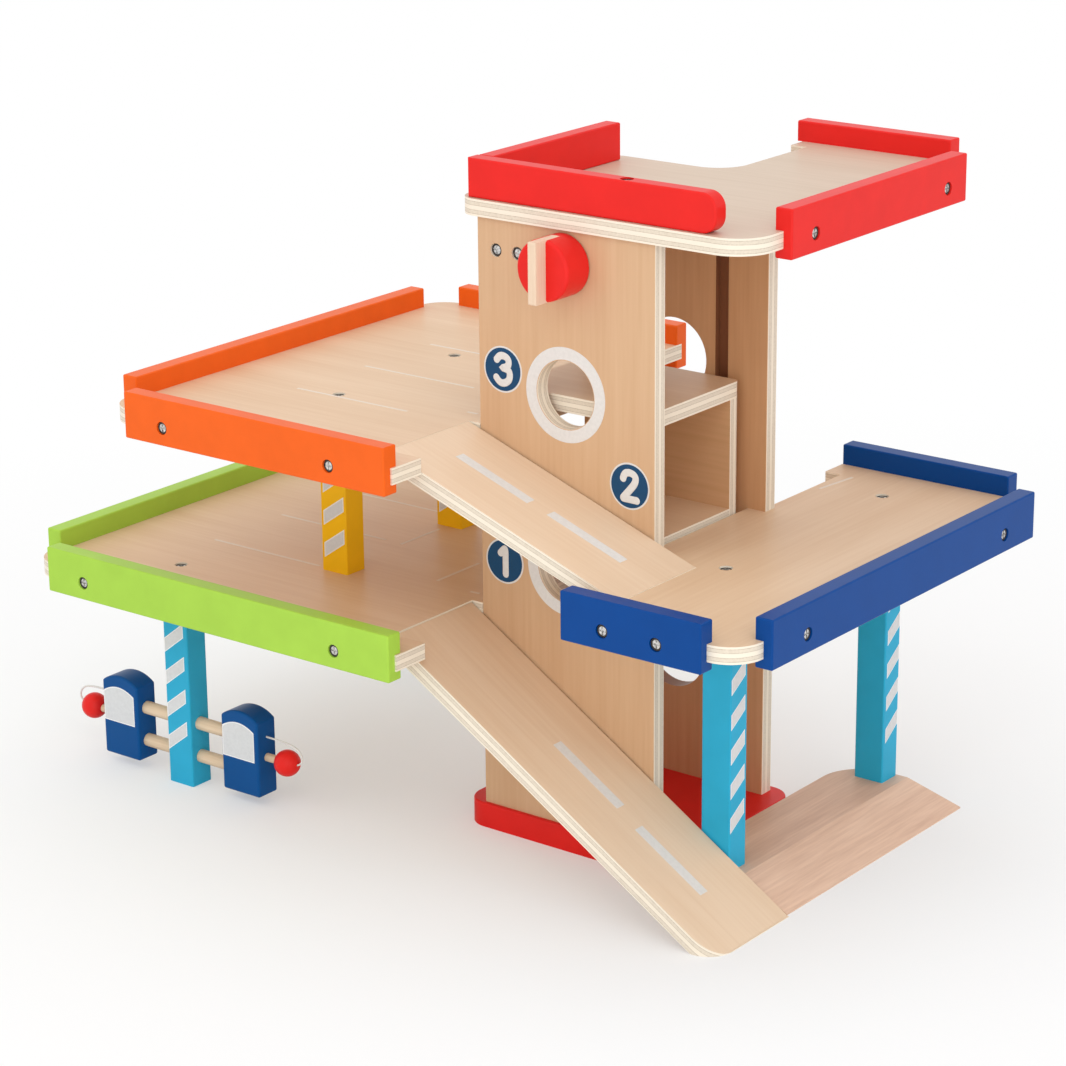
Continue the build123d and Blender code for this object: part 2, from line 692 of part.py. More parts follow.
with BuildPart() as shaft_bracket:
    with Locations((bracket_left, inner_front_y, knob_z)):
        Box(bracket_width, arm_back_y - inner_front_y, bracket_height,
            align=(Align.MIN, Align.MIN, Align.CENTER))
    with Locations((bracket_left, arm_front_y, knob_z)):
        Box(bracket_arm_end - bracket_left, bracket_arm_thick, bracket_height,
            align=(Align.MIN, Align.MIN, Align.CENTER))
    with Locations(Location((0, arm_front_y, knob_z), front_face_turn)):
        Hole(shaft_radius + turn_gap, depth=bracket_arm_thick)
    with Locations(*bracket_spots):
        Cylinder(shank_radius + shank_gap, panel_screw_length + head_sunk + shank_gap,
                 mode=Mode.SUBTRACT, align=(Align.CENTER, Align.CENTER, Align.MAX))
save(shaft_bracket, "shaft_bracket")

# ---- lift ----
lift_floor_top = lift_bottom + ply
lift_roof_bottom = lift_top - ply
half_lift = lift_width / 2
back_corners = [(half_lift, lift_back_y), (-half_lift, lift_back_y)]
lift_outline = [(-half_lift, lift_front_y), (half_lift, lift_front_y)] + back_corners
lift_back_front_y = lift_back_y - ply
anchor_top = lift_top + anchor_height

with BuildPart() as lift_floor:
    with Locations((0, lift_front_y, lift_bottom)):
        Box(lift_width, lift_back_front_y - lift_front_y, ply, align=(Align.CENTER, Align.MIN, Align.MIN))
save(lift_floor, "lift_floor")

with BuildPart() as lift_roof:
    board(lift_outline, back_corners, lift_corner, lift_roof_bottom, ply)
save(lift_roof, "lift_roof")

with BuildPart() as lift_back:
    board([(-half_lift, lift_back_front_y), (half_lift, lift_back_front_y)] + back_corners,
          back_corners, lift_corner, lift_bottom, lift_roof_bottom - lift_bottom)
save(lift_back, "lift_back")

with BuildPart() as guide_runner:
    with Locations((groove_x, lift_back_y, (lift_floor_top + lift_roof_bottom) / 2)):
        Box(groove_width - 2 * runner_side_gap,
            inner_back_y + groove_depth - runner_end_gap - lift_back_y, runner_length,
            align=(Align.CENTER, Align.MIN, Align.CENTER))
save(guide_runner, "guide_runner")

with BuildPart() as cord_anchor:
    with Locations((-wind_radius, lift_y, lift_top)):
        Cylinder(anchor_radius, anchor_height, align=(Align.CENTER, Align.CENTER, Align.MIN))
    fillet(cord_anchor.faces().sort_by(Axis.Z)[-1].edges(), edge_round)
save(cord_anchor, "cord_anchor")

with BuildPart() as hoist_cord:
    with Locations((-wind_radius, lift_y, anchor_top)):
        Cylinder(cord_radius, knob_z - anchor_top, align=(Align.CENTER, Align.CENTER, Align.MIN))
save(hoist_cord, "hoist_cord")

# ---- screws ----
screws("rail_screws", green_spots + orange_spots + blue_spots + top_spots, screw_length)
screws("deck_screws", green_down + orange_down + blue_down, screw_length)
screws("bracket_screws", bracket_spots, panel_screw_length)
screws("top_rail_screw", [top_screw_spot], top_rail_height + ply / 2)
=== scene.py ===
# %% [markdown]
# # A wooden toy parking garage with a lift
# The real toy is a plywood tower with four decks round it, painted rails, striped pillars, two ramps
# and a small pump island. The fixed model gives every piece its place. This script gives each piece
# its finish, and adds what is printed on the wood: rings, numbers, lane lines and stripes.

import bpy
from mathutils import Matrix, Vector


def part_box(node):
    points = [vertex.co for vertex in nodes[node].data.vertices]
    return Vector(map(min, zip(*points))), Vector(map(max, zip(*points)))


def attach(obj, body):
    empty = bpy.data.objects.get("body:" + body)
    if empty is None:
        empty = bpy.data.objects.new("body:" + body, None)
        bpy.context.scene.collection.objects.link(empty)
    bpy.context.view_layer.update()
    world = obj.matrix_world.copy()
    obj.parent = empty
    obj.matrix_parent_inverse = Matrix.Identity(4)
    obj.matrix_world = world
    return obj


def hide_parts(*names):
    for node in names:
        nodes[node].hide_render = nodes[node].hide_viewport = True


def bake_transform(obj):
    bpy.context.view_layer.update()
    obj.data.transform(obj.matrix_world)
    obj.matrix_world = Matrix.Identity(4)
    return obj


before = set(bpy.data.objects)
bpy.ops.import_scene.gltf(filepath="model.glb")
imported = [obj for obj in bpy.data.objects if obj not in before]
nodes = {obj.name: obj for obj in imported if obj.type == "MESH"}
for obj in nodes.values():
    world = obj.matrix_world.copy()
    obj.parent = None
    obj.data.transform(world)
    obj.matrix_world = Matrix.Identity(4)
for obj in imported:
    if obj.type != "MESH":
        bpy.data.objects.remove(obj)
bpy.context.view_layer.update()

import math

import bmesh
import bpy
from mathutils import Matrix, Vector

MM = 0.001
WELD = 0.001 * MM
print("pieces in the model:", len(nodes))

# %% [markdown]
# The camera comes first. A long lens from the right, a little above, keeps the boards' edges nearly
# parallel, as in the photograph.

# %% Camera and view
scene = bpy.context.scene
scene.view_settings.view_transform = "Standard"

camera_data = bpy.data.cameras.new("camera")
camera_data.sensor_width = 36
camera_data.lens = 109.69
camera_data.clip_end = 20
camera = bpy.data.objects.new("camera", camera_data)
camera.location = Vector((1032.5, -1418.3, 753.5)) * MM
camera.rotation_euler = [math.radians(a) for a in (71.780, 0.519, 37.606)]
scene.collection.objects.link(camera)
scene.camera = camera
print("camera", round(camera.location.length, 2), "m from the tower's foot")

# %% [markdown]
# ## Where things are
# The sizes below are read off the fixed model, so the prints stay on their boards.

# %% Named places
panel_lo, panel_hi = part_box("front_panel")
PANEL_FRONT = panel_lo.y
PLY = panel_hi.y - panel_lo.y
GREEN_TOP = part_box("green_deck")[1].z
ORANGE_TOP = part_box("orange_deck")[1].z
BLUE_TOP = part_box("blue_deck")[1].z
RED_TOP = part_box("red_deck")[1].z
print("deck tops", [round(z / MM, 1) for z in (GREEN_TOP, BLUE_TOP, ORANGE_TOP, RED_TOP)])


# %% [markdown]
# ## Finishes
# Each finish is a small tree of nodes. A helper makes a new material and hands back its tree and its
# main shader, so that each finish below only says what is special about it.

# %% A helper for new materials
def new_material(name, roughness, gloss=0.3):
    """A material with one main shader, and its tree. Gloss is how much light the surface mirrors."""
    material = bpy.data.materials.new(name)
    material.use_nodes = True
    tree = material.node_tree
    shader = tree.nodes["Principled BSDF"]
    shader.inputs["Roughness"].default_value = roughness
    shader.inputs["Specular IOR Level"].default_value = gloss
    return material, tree, shader


def node(tree, kind, **settings):
    """One new node of that kind, with its settings."""
    made = tree.nodes.new(kind)
    for key, value in settings.items():
        setattr(made, key, value)
    return made


def maths(tree, operation, first, second=None):
    """A Math node between links or numbers; hands back its output."""
    made = node(tree, "ShaderNodeMath", operation=operation)
    for socket, value in zip(made.inputs, (first, second)):
        if value is None:
            continue
        if isinstance(value, (int, float)):
            socket.default_value = value
        else:
            tree.links.new(value, socket)
    return made.outputs[0]


def mix_colour(tree, amount, first, second):
    """Mixes two colours, each a link or a plain colour."""
    made = node(tree, "ShaderNodeMix", data_type="RGBA")
    colour_sockets = (made.inputs[0], made.inputs[6], made.inputs[7])
    for socket, value in zip(colour_sockets, (amount, first, second)):
        if isinstance(value, (int, float)):
            socket.default_value = value
        elif isinstance(value, tuple):
            socket.default_value = (*value, 1)
        else:
            tree.links.new(value, socket)
    return made.outputs[2]


def noise(tree, coordinates, scale, detail=3.0, stretch=(1, 1, 1)):
    """Noise on the piece's own coordinates, stretched along the grain."""
    mapping = node(tree, "ShaderNodeMapping")
    mapping.inputs["Scale"].default_value = stretch
    tree.links.new(coordinates, mapping.inputs["Vector"])
    made = node(tree, "ShaderNodeTexNoise")
    made.inputs["Scale"].default_value = scale
    made.inputs["Detail"].default_value = detail
    tree.links.new(mapping.outputs[0], made.inputs["Vector"])
    return made.outputs["Fac"]


def spread(tree, value, low, high, to_low=0.0, to_high=1.0):
    """Stretches a value's range and clamps it."""
    made = node(tree, "ShaderNodeMapRange", clamp=True)
    for name, number in (("From Min", low), ("From Max", high), ("To Min", to_low), ("To Max", to_high)):
        made.inputs[name].default_value = number
    tree.links.new(value, made.inputs["Value"])
    return made.outputs[0]


def bump(tree, shader, height, strength, distance):
    made = node(tree, "ShaderNodeBump")
    made.inputs["Strength"].default_value = strength
    made.inputs["Distance"].default_value = distance
    tree.links.new(height, made.inputs["Height"])
    tree.links.new(made.outputs[0], shader.inputs["Normal"])


# %% [markdown]
# Plywood shows two things: a pale birch face with faint grain, and on each cut edge its five plies.
# The two that run crossways show greyer end grain, with a fine dark glue line on each side. The
# piece's own coordinates are turned so that x runs along the grain and z through the board. The
# piece's own normal then tells a face from a cut edge.

# %% Plywood
FACE_LIGHT, FACE_DARK = (0.80, 0.585, 0.395), (0.72, 0.49, 0.305)
# Painted shade: the top deck's birch is a greyer, darker copy of the face colours.
SHADED_TOP_LIGHT, SHADED_TOP_DARK = (0.68, 0.54, 0.42), (0.60, 0.46, 0.34)
FRONT_LIGHT, FRONT_DARK = (0.69, 0.455, 0.27), (0.62, 0.38, 0.215)
BACK_LIGHT, BACK_DARK = (0.68, 0.39, 0.205), (0.58, 0.31, 0.15)
CABIN_LIGHT, CABIN_DARK = (0.72, 0.44, 0.24), (0.62, 0.36, 0.18)
RAMP_LIGHT, RAMP_DARK = (0.84, 0.65, 0.47), (0.77, 0.56, 0.38)
EDGE_LIGHT = (0.90, 0.81, 0.67)
EDGE_DARK = (0.38, 0.29, 0.20)
CROSS_PLIES = 2
# Painted shade: this dark red-brown stands for the shadow in the back panel's groove and its cuts near the
# middle.
RECESS_SHADE = (0.26, 0.10, 0.045)
SHADE_WITHIN = 60 * MM
GRAIN_RELIEF = 0.4 * MM


def plywood(name, through, grain, start, light=FACE_LIGHT, dark=FACE_DARK, shade_within=0.0):
    """Plywood with its boards square to `through`, its grain along `grain`, and its first ply
    at the height `start` along `through`. What is cut into the board nearer its middle than
    the given distance is painted a dark red-brown, as shade."""
    material, tree, shader = new_material(name, 0.4, 0.3)
    texture = node(tree, "ShaderNodeTexCoord")
    z_axis = Vector(through).normalized()
    x_axis = Vector(grain).normalized()
    y_axis = z_axis.cross(x_axis)

    def along(source, axis):
        dot = node(tree, "ShaderNodeVectorMath", operation="DOT_PRODUCT")
        tree.links.new(source, dot.inputs[0])
        dot.inputs[1].default_value = axis
        return dot.outputs["Value"]

    here = texture.outputs["Object"]
    combined = node(tree, "ShaderNodeCombineXYZ")
    for socket, axis in zip(combined.inputs, (x_axis, y_axis, z_axis)):
        tree.links.new(along(here, axis), socket)
    local = combined.outputs[0]

    streaks = noise(tree, local, 420, 4, (0.035, 1, 1))
    bands = noise(tree, local, 38, 2, (0.12, 1, 1))
    cloud = noise(tree, local, 9, 2, (0.5, 1, 1))
    figure = maths(tree, "ADD", maths(tree, "MULTIPLY", streaks, 0.35),
                   maths(tree, "ADD", maths(tree, "MULTIPLY", bands, 0.35),
                         maths(tree, "MULTIPLY", cloud, 0.3)))
    face = mix_colour(tree, spread(tree, figure, 0.36, 0.64), dark, light)

    depth = maths(tree, "DIVIDE", maths(tree, "SUBTRACT", along(here, z_axis), start), PLY)
    wobble = maths(tree, "MULTIPLY", maths(tree, "SUBTRACT", noise(tree, here, 60, 2), 0.5), 0.05)
    wave = maths(tree, "FRACT", maths(tree, "MULTIPLY", maths(tree, "ADD", depth, wobble), CROSS_PLIES))
    from_cross = maths(tree, "ABSOLUTE", maths(tree, "SUBTRACT", wave, 0.5))
    cross_ply = spread(tree, from_cross, 0.17, 0.24, 0.30, 0.0)
    from_glue = maths(tree, "ABSOLUTE", maths(tree, "SUBTRACT", from_cross, 0.21))
    glue = spread(tree, from_glue, 0.02, 0.06, 0.62, 0.0)
    shade = maths(tree, "MAXIMUM", glue, cross_ply)
    fibres = spread(tree, noise(tree, here, 900, 2), 0.35, 0.7, 0.75, 1.15)
    edge = mix_colour(tree, maths(tree, "MULTIPLY", shade, fibres), EDGE_LIGHT, EDGE_DARK)

    # Painted shade: cut edges near the middle, and the bottoms of cuts, are painted dark red-brown.
    if shade_within:
        across = maths(tree, "ABSOLUTE", along(here, y_axis))
        unshaded = spread(tree, across, shade_within - 1 * MM, shade_within)
        edge = mix_colour(tree, unshaded, RECESS_SHADE, edge)
        from_middle = maths(tree, "ABSOLUTE", maths(tree, "SUBTRACT", depth, 0.5))
        face = mix_colour(tree, spread(tree, from_middle, 0.44, 0.48), RECESS_SHADE, face)

    facing = maths(tree, "ABSOLUTE", along(texture.outputs["Normal"], z_axis))
    is_face = spread(tree, facing, 0.55, 0.75)
    tree.links.new(mix_colour(tree, is_face, edge, face), shader.inputs["Base Color"])
    bump(tree, shader, streaks, 0.08, GRAIN_RELIEF)
    return material


def dress(material, *names):
    """Gives a finish to pieces of the fixed model."""
    for name in names:
        nodes[name].data.materials.clear()
        nodes[name].data.materials.append(material)
    print(material.name, "on", ", ".join(names))


UP, RIGHT, BACK = (0, 0, 1), (1, 0, 0), (0, 1, 0)
dress(plywood("ply green deck", UP, RIGHT, GREEN_TOP - PLY), "green_deck")
dress(plywood("ply orange deck", UP, RIGHT, ORANGE_TOP - PLY), "orange_deck")
dress(plywood("ply blue deck", UP, BACK, BLUE_TOP - PLY), "blue_deck")
dress(plywood("ply top deck", UP, RIGHT, RED_TOP - PLY, SHADED_TOP_LIGHT, SHADED_TOP_DARK), "red_deck")
dress(plywood("ply front panel", BACK, UP, PANEL_FRONT, FRONT_LIGHT, FRONT_DARK), "front_panel")
dress(plywood("ply back panel", BACK, UP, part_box("back_panel")[0].y, BACK_LIGHT, BACK_DARK, SHADE_WITHIN),
      "back_panel")
dress(plywood("ply lift floor", UP, RIGHT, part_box("lift_floor")[0].z), "lift_floor")
dress(plywood("ply lift roof", UP, RIGHT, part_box("lift_roof")[0].z), "lift_roof")
dress(plywood("ply lift back", BACK, RIGHT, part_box("lift_back")[0].y, CABIN_LIGHT, CABIN_DARK), "lift_back")

# %% [markdown]
# The ramps are the same plywood on a slope, so their axes are turned by the ramp's own angle.

# %% Ramps' plywood
def ramp_axes(name, foot_z):
    """Along and through a ramp, from its box: its top end is at the box's left."""
    low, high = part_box(name)
    slope = math.atan2(high.z - foot_z, high.x - low.x)
    along = Vector((math.cos(slope), 0, -math.sin(slope)))
    through = Vector((math.sin(slope), 0, math.cos(slope)))
    top_corner = Vector((low.x, 0, high.z))
    return along, through, top_corner, slope


RAMPS = {"upper_ramp": ramp_axes("upper_ramp", BLUE_TOP), "lower_ramp": ramp_axes("lower_ramp", 0)}
for ramp_name, (along, through, corner, slope) in RAMPS.items():
    dress(plywood("ply " + ramp_name, through, along, through.dot(corner) - PLY, RAMP_LIGHT, RAMP_DARK),
          ramp_name)
    print(ramp_name, "slopes", round(math.degrees(slope), 1), "degrees")


# %% [markdown]
# Beech is pinker than birch, with short fine flecks. The entry plate is solid beech, its grain
# from front to back.

# %% Beech and turned wood
def solid_wood(name, grain, light, dark, roughness=0.45):
    """Solid wood: long soft bands, and fine pores along the grain."""
    material, tree, shader = new_material(name, roughness, 0.25)
    here = node(tree, "ShaderNodeTexCoord").outputs["Object"]
    stretch = tuple(0.05 if axis else 1.0 for axis in grain)
    pores = noise(tree, here, 700, 3, stretch)
    bands = noise(tree, here, 90, 4, stretch)
    figure = maths(tree, "ADD", maths(tree, "MULTIPLY", pores, 0.45), maths(tree, "MULTIPLY", bands, 0.55))
    colour = mix_colour(tree, spread(tree, figure, 0.36, 0.64), dark, light)
    tree.links.new(colour, shader.inputs["Base Color"])
    bump(tree, shader, pores, 0.1, GRAIN_RELIEF)
    return material


dress(solid_wood("beech plate", BACK, (0.83, 0.58, 0.43), (0.67, 0.43, 0.31)), "entry_plate")
dress(solid_wood("turned wood across", RIGHT, (0.80, 0.62, 0.43), (0.68, 0.49, 0.32)),
      "pump_dowels", "left_nozzle_stick", "right_nozzle_stick")
dress(solid_wood("knob bar wood", UP, (0.84, 0.66, 0.50), (0.76, 0.57, 0.41)), "knob_bar")
dress(solid_wood("turned wood inside", BACK, (0.74, 0.53, 0.35), (0.62, 0.42, 0.26)),
      "knob_shaft", "cord_spool", "shaft_bracket", "cord_anchor", "guide_runner")


# %% [markdown]
# The paint is sprayed on wood: even in colour, satin, with a slight unevenness from the grain
# under it.

# %% Paints
def paint(name, colour, roughness=0.34):
    """Satin paint on wood, a little uneven."""
    material, tree, shader = new_material(name, roughness, 0.14)
    here = node(tree, "ShaderNodeTexCoord").outputs["Object"]
    darker = tuple(0.93 * c for c in colour)
    patches = spread(tree, noise(tree, here, 60, 4), 0.3, 0.7)
    tree.links.new(mix_colour(tree, patches, darker, colour), shader.inputs["Base Color"])
    bump(tree, shader, noise(tree, here, 650, 3), 0.06, GRAIN_RELIEF)
    return material


RED = (0.82, 0.022, 0.018)
ORANGE = (0.89, 0.13, 0.011)
GREEN = (0.40, 0.66, 0.075)
BLUE = (0.0, 0.058, 0.27)
LIGHT_BLUE = (0.028, 0.42, 0.66)
YELLOW = (1.0, 0.56, 0.010)
PUMP_BLUE = (0.001, 0.076, 0.27)

dress(paint("red paint", RED), "base_plate", "red_front_rail", "red_left_rail", "red_right_rail",
      "red_back_rail", "knob_disc", "left_nozzle_ball", "right_nozzle_ball")
dress(paint("orange paint", ORANGE), "orange_front_rail", "orange_left_rail", "orange_back_rail")
dress(paint("green paint", GREEN), "green_front_rail", "green_left_rail", "green_back_rail")
dress(paint("blue paint", BLUE), "blue_front_rail", "blue_right_rail", "blue_back_rail")
dress(paint("light blue paint", LIGHT_BLUE), "blue_front_pillar", "blue_back_pillar", "pump_pillar",
      "green_back_pillar")
dress(paint("yellow paint", YELLOW), "yellow_front_pillar", "yellow_back_pillar")
dress(paint("pump paint", PUMP_BLUE), "left_pump", "right_pump")

# %% [markdown]
# The screws are zinc-plated steel: a bright metal with fine turning marks.

# %% Screws
steel, steel_tree, steel_shader = new_material("zinc-plated steel", 0.3)
steel_shader.inputs["Metallic"].default_value = 1
steel_here = node(steel_tree, "ShaderNodeTexCoord").outputs["Object"]
steel_patches = spread(steel_tree, noise(steel_tree, steel_here, 900, 3), 0.35, 0.65)
steel_tree.links.new(mix_colour(steel_tree, steel_patches, (0.45, 0.44, 0.43), (0.85, 0.84, 0.82)),
                     steel_shader.inputs["Base Color"])
SCREWS = ("rail_screws", "deck_screws", "bracket_screws", "top_rail_screw")
dress(steel, *SCREWS)

# %% [markdown]
# ## What is printed on the wood
# The prints are thin layers of ink. Each is a real flat piece, a tenth of a millimetre proud of its
# board, so it looks the same from every side.

# %% Ink
INK = 0.1 * MM


def ink(name, colour, roughness=0.5):
    material, tree, shader = new_material(name, roughness)
    here = node(tree, "ShaderNodeTexCoord").outputs["Object"]
    worn = spread(tree, noise(tree, here, 500, 3), 0.3, 0.7)
    paler = tuple(0.93 * c for c in colour)
    tree.links.new(mix_colour(tree, worn, paler, colour), shader.inputs["Base Color"])
    return material


WHITE_INK = ink("white ink", (0.78, 0.76, 0.73))
EDGE_INK = ink("bright edge ink", (0.90, 0.90, 0.90))
STRIPE_INK = ink("grey-white ink", (0.70, 0.71, 0.72))
FADED_INK = ink("faded lane ink", (0.84, 0.72, 0.60))
DISC_INK = ink("blue disc ink", (0.003, 0.062, 0.16))


def piece(name, mesh, material, body="garage"):
    """Links a finished mesh as a piece that rides on a body."""
    made = bpy.data.objects.new(name, mesh)
    scene.collection.objects.link(made)
    mesh.materials.append(material)
    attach(made, body)
    return made


def flat_mesh(name, outline_maker, place):
    """A flat shape drawn in x and y by outline_maker, given the ink's thickness and then its place."""
    bm = bmesh.new()
    outline_maker(bm)
    ink_faces = bm.faces[:]
    raised = bmesh.ops.extrude_face_region(bm, geom=ink_faces)
    corners = [g for g in raised["geom"] if isinstance(g, bmesh.types.BMVert)]
    bmesh.ops.translate(bm, vec=(0, 0, INK), verts=corners)
    bmesh.ops.transform(bm, matrix=place, verts=bm.verts)
    bmesh.ops.recalc_face_normals(bm, faces=bm.faces)
    mesh = bpy.data.meshes.new(name)
    bm.to_mesh(mesh)
    bm.free()
    return mesh


def flat_print(name, outline_maker, place, material, body="garage"):
    return piece(name, flat_mesh(name, outline_maker, place), material, body)


# %% [markdown]
# A print's place is a small frame of its own: x along the print, y up it, z out of the board.

# %% Places on a face
def on_face(origin, x_dir, z_dir):
    """The frame of a print on a face."""
    z = Vector(z_dir).normalized()
    x = Vector(x_dir).normalized()
    y = z.cross(x)
    turn = Matrix((x, y, z)).transposed().to_4x4()
    return Matrix.Translation(Vector(origin)) @ turn


def on_front_panel(x, z, lift=0.0):
    return on_face((x * MM, PANEL_FRONT - lift, z * MM), RIGHT, (0, -1, 0))


def rectangle(x0, x1, y0, y1):
    """Draws a rectangle, in millimetres."""
    def draw(bm):
        corners = [bm.verts.new((x * MM, y * MM, 0)) for x, y in ((x0, y0), (x1, y0), (x1, y1), (x0, y1))]
        bm.faces.new(corners)
    return draw


def disc(radius):
    def draw(bm):
        bmesh.ops.create_circle(bm, cap_ends=True, segments=72, radius=radius * MM)
    return draw


def ring(inner, outer, steps=96):
    """Draws a flat ring: a short edge spun all the way round."""
    def draw(bm):
        ends = [bm.verts.new((r * MM, 0, 0)) for r in (inner, outer)]
        edge = bm.edges.new(ends)
        bmesh.ops.spin(bm, geom=[*ends, edge], cent=(0, 0, 0), axis=(0, 0, 1), angle=math.tau,
                       steps=steps, use_merge=True)
    return draw


# %% [markdown]
# A screw's head sits a little below the wood, and the gap round it lies in shadow, so every head
# gets a dark rim of painted shade. Each screw of the fixed model is found as an island of its mesh:
# it lies along its longest side, and its head is at the end that reaches further out sideways.

# %% Painted shade round the screw heads
def islands(mesh):
    """The corners of each separate solid of a mesh, as lists of places."""
    bm = bmesh.new()
    bm.from_mesh(mesh)
    bmesh.ops.remove_doubles(bm, verts=bm.verts, dist=WELD)
    left = set(bm.verts)
    found = []
    while left:
        reached = [left.pop()]
        for vert in reached:
            for edge in vert.link_edges:
                other = edge.other_vert(vert)
                if other in left:
                    left.remove(other)
                    reached.append(other)
        found.append([vert.co.copy() for vert in reached])
    bm.free()
    return found


def head_of(corners):
    """A screw's head: the middle of its top, the way it faces, and its radius."""
    low = Vector([min(c[i] for c in corners) for i in range(3)])
    high = Vector([max(c[i] for c in corners) for i in range(3)])
    size = high - low
    axis = max(range(3), key=lambda i: size[i])
    across = (axis + 1) % 3
    middle = (low + high) / 2
    widest = max(corners, key=lambda c: abs(c[across] - middle[across]))
    outward = Vector((0, 0, 0))
    outward[axis] = 1 if widest[axis] > middle[axis] else -1
    middle[axis] = high[axis] if outward[axis] > 0 else low[axis]
    return middle, outward, size[across] / 2


RIM_SHARE = 0.72
# Painted shade: each head's dark ring stands for the shadow in the gap round it.
RIM_SHADE = ink("painted rim shade", (0.035, 0.028, 0.024))
rim_pattern = flat_mesh("rim pattern", ring(RIM_SHARE, 1, 32), Matrix())
rims = bmesh.new()
for screw_node in SCREWS:
    for corners in islands(nodes[screw_node].data):
        middle, outward, radius = head_of(corners)
        turn = outward.to_track_quat("Z", "Y").to_matrix().to_4x4()
        grow = Matrix.Diagonal((radius / MM, radius / MM, 1, 1))
        kept = len(rims.verts)
        rims.from_mesh(rim_pattern)
        rims.verts.ensure_lookup_table()
        bmesh.ops.transform(rims, matrix=Matrix.Translation(middle) @ turn @ grow, verts=rims.verts[kept:])
rim_mesh = bpy.data.meshes.new("screw_rim_shade")
rims.to_mesh(rim_mesh)
rims.free()
piece("screw_rim_shade", rim_mesh, RIM_SHADE)
print("screw rims:", len(rim_mesh.vertices) // len(rim_pattern.vertices))

# %% [markdown]
# The portholes of the front panel have a broad white ring printed round them.

# %% Porthole rings
RING_INNER, RING_OUTER = 19.9, 27
PORTHOLES = {"upper": 270, "lower": 169}
for level, z in PORTHOLES.items():
    flat_print(f"porthole_ring_{level}", ring(RING_INNER, RING_OUTER), on_front_panel(0, z), WHITE_INK)
print("rings", RING_OUTER - RING_INNER, "mm broad")

# %% [markdown]
# The level numbers are white, with round ends, on blue discs that have a thin white edge. A number
# is one stroke of a broad pen, so it is drawn as a curve with a round pen and then pressed flat.

# %% Level numbers
DISC_RADIUS, DISC_EDGE = 12.3, 13.3
PEN = 2.15
NUMBER_STROKES = {
    "1": [(-2.9, 4.4), (-0.6, 7.0), (0.6, 7.6), (0.6, 0.0), (0.6, -7.6)],
    "2": [(-4.3, 3.9), (-3.6, 6.9), (0.2, 8.0), (4.2, 6.4), (4.0, 2.6), (0.6, -1.6), (-4.2, -7.0),
          (-4.4, -7.4), (-1.0, -7.4), (4.8, -7.4)],
    "3": [(-4.2, 5.2), (-2.4, 7.7), (1.0, 8.0), (4.3, 6.2), (3.9, 2.2), (0.3, 0.9), (-0.9, 0.9),
          (0.6, 0.9), (4.8, 0.0), (4.9, -5.2), (1.2, -7.9), (-2.6, -7.8), (-4.6, -5.2)],
}


def mesh_of(thing):
    """The mesh that a curve's object shows."""
    bpy.context.view_layer.update()
    return bpy.data.meshes.new_from_object(thing.evaluated_get(bpy.context.evaluated_depsgraph_get()))


def number_mesh(name, points, place):
    """A stroke of a round pen through the points, pressed flat onto its place."""
    curve = bpy.data.curves.new(name, "CURVE")
    curve.dimensions = "3D"
    curve.bevel_depth = PEN * MM
    curve.bevel_resolution = 4
    curve.use_fill_caps = True
    stroke = curve.splines.new("NURBS")
    stroke.points.add(len(points) - 1)
    for point, (x, y) in zip(stroke.points, points):
        point.co = (x * MM, y * MM, 0, 1)
    stroke.order_u = 3
    stroke.use_endpoint_u = True
    stroke.resolution_u = 8
    pen = bpy.data.objects.new(name, curve)
    scene.collection.objects.link(pen)
    mesh = mesh_of(pen)
    bpy.data.objects.remove(pen)
    bm = bmesh.new()
    bm.from_mesh(mesh)
    for x, y in (points[0], points[-1]):
        bmesh.ops.create_uvsphere(bm, u_segments=20, v_segments=10, radius=PEN * MM,
                                  matrix=Matrix.Translation((x * MM, y * MM, 0)))
    flatten = Matrix.Diagonal((1, 1, INK / (PEN * MM), 1))
    bmesh.ops.transform(bm, matrix=place @ flatten, verts=bm.verts)
    bm.to_mesh(mesh)
    bm.free()
    mesh.name = name
    return mesh


LEVEL_DISCS = {"1": (-43.5, 165.6), "2": (43.4, 225.8), "3": (-43.2, 277.7)}
for number, (x, z) in LEVEL_DISCS.items():
    flat_print(f"disc_edge_{number}", disc(DISC_EDGE), on_front_panel(x, z), WHITE_INK)
    flat_print(f"disc_{number}", disc(DISC_RADIUS), on_front_panel(x, z, INK), DISC_INK)
    piece(f"number_{number}", number_mesh(f"number_{number}", NUMBER_STROKES[number],
                                          on_front_panel(x, z, 2 * INK)), WHITE_INK)
print("level discs", list(LEVEL_DISCS))

# %% [markdown]
# Each ramp has two broad white dashes down its middle.

# %% Ramp dashes
def ramp_mark(name, ramp_name, from_x, to_x, y, width):
    """A dash on a ramp, given by where it starts and ends along X."""
    along, through, corner, slope = RAMPS[ramp_name]
    start = corner + along * ((from_x * MM - corner.x) / math.cos(slope))
    length = (to_x - from_x) / math.cos(slope)
    start.y = y * MM
    flat_print(name, rectangle(0, length, -width / 2, width / 2), on_face(start, along, through), WHITE_INK)


DASH = 6.8
ramp_mark("upper_dash_1", "upper_ramp", -46, 3.2, -92, DASH)
ramp_mark("upper_dash_2", "upper_ramp", 15.8, 64.9, -91, DASH)
ramp_mark("lower_dash_1", "lower_ramp", 20, 63.5, -92, DASH)
ramp_mark("lower_dash_2", "lower_ramp", 77, 120.6, -94, DASH)

# %% [markdown]
# The decks have thin faded lane lines: the edges of the parking bays run across, and the dashes of
# the lane run from front to back. All the lines of a deck are one print.

# %% Deck lines
LINE = 2.0


